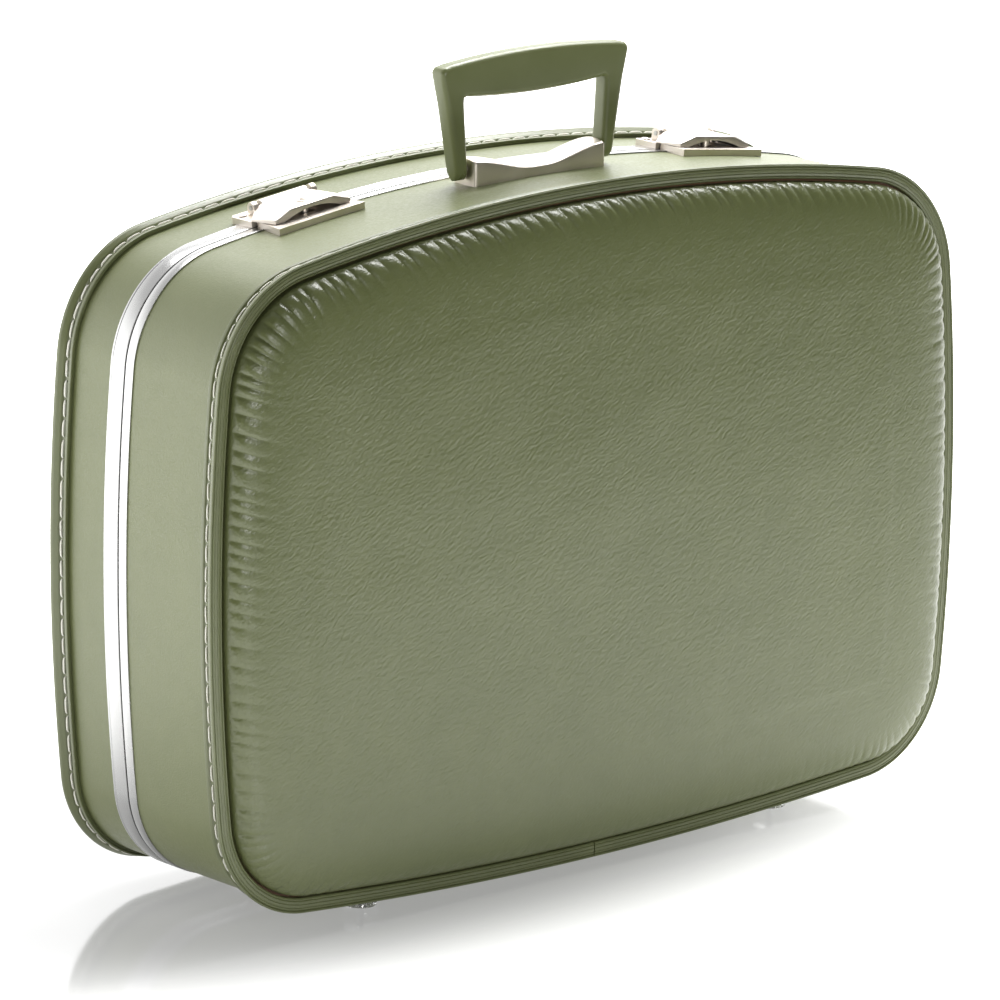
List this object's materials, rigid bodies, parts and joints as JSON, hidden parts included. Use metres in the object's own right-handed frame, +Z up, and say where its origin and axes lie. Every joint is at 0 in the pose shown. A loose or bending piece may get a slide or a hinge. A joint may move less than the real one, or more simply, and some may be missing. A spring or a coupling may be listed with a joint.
{
  "type": "suitcase",
  "caption": "Upright weekend suitcase of vinyl over bent ply with padded panels, bound rims, a swinging top handle, lever latches and a lid hinged along its base",
  "frame": {"origin": "on the ground under the middle of the standing case", "axes": "+Z up, +X along the width, the padded front of the deep half faces -Y"},
  "size_m": [0.52, 0.1604, 0.433],
  "materials": {
    "side_vinyl": "fine grained satin vinyl, light olive",
    "panel_vinyl": "soft grained semi-gloss padded vinyl, deep olive",
    "binding_vinyl": "smooth moulded vinyl binding with ribs and pale saddle stitching",
    "handle_plastic": "moulded satin plastic with a fine grain",
    "bright_edge": "bright drawn aluminium",
    "nickel": "warm satin nickel plate with light wear",
    "lock_metal": "turned nickel plate",
    "steel_fixing": "plated steel",
    "spring_steel": "blued spring steel",
    "clear_plastic": "clear moulded plastic",
    "ply": "bent birch ply",
    "hardboard": "hardboard",
    "foam": "soft foam",
    "lining_cloth": "woven rayon lining"
  },
  "bodies": {
    "front_half": {"front_hoop": "ply", "front_side_cover": "side_vinyl", "front_board": "hardboard", "front_pad_foam": "foam", "front_pad_cover": "panel_vinyl", "front_binding": "binding_vinyl", "front_edge": "bright_edge", "front_lining": "lining_cloth", "front_feet": "clear_plastic", "front_foot_nails": "steel_fixing", "handle_saddle": "nickel", "handle_pins": "steel_fixing", "handle_screws": "steel_fixing", "latch_plate_left": "nickel", "latch_plate_right": "nickel", "latch_plate_rivets": "steel_fixing", "hinge_leaves_front": "steel_fixing", "hinge_pins": "steel_fixing", "hinge_rivets_front": "steel_fixing"},
    "lid": {"lid_hoop": "ply", "lid_side_cover": "side_vinyl", "lid_board": "hardboard", "lid_pad_foam": "foam", "lid_pad_cover": "panel_vinyl", "lid_binding": "binding_vinyl", "lid_edge": "bright_edge", "lid_lining": "lining_cloth", "lid_pocket": "lining_cloth", "lid_feet": "clear_plastic", "lid_foot_nails": "steel_fixing", "hasp_plate_left": "nickel", "hasp_plate_right": "nickel", "hasp_plate_rivets": "steel_fixing", "hasp_pin_left": "steel_fixing", "hasp_pin_right": "steel_fixing", "hasp_spring_left": "spring_steel", "hasp_spring_right": "spring_steel", "hinge_leaves_lid": "steel_fixing", "hinge_rivets_lid": "steel_fixing"},
    "handle": {"handle_grip": "handle_plastic"},
    "hasp_left": {"hasp_left": "nickel"},
    "hasp_right": {"hasp_right": "nickel"},
    "lock_left": {"lock_plug_left": "lock_metal"},
    "lock_right": {"lock_plug_right": "lock_metal"}
  },
  "joints": [
    {"name": "lid_hinge", "type": "hinge", "parent": "front_half", "child": "lid", "pos_m": [0, 0.0145, 0.005], "axis": [-1, 0, 0], "range_deg": [0, 100]},
    {"name": "handle_swing", "type": "hinge", "parent": "front_half", "child": "handle", "pos_m": [0, -0.01, 0.373], "axis": [1, 0, 0], "range_deg": [-80, 80]},
    {"name": "hasp_left_lift", "type": "hinge", "parent": "lid", "child": "hasp_left", "pos_m": [-0.13992, 0.024, 0.36417], "axis": [-0.9922, 0, -0.1243], "range_deg": [0, 110]},
    {"name": "hasp_right_lift", "type": "hinge", "parent": "lid", "child": "hasp_right", "pos_m": [0.13992, 0.024, 0.36417], "axis": [-0.9922, 0, 0.1243], "range_deg": [0, 110]},
    {"name": "lock_left_turn", "type": "hinge", "parent": "hasp_left", "child": "lock_left", "pos_m": [-0.13962, 0.0073, 0.36179], "axis": [-0.1243, 0, 0.9922], "range_deg": [0, 90]},
    {"name": "lock_right_turn", "type": "hinge", "parent": "hasp_right", "child": "lock_right", "pos_m": [0.13962, 0.0073, 0.36179], "axis": [0.1243, 0, 0.9922], "range_deg": [0, 90]}
  ]
}
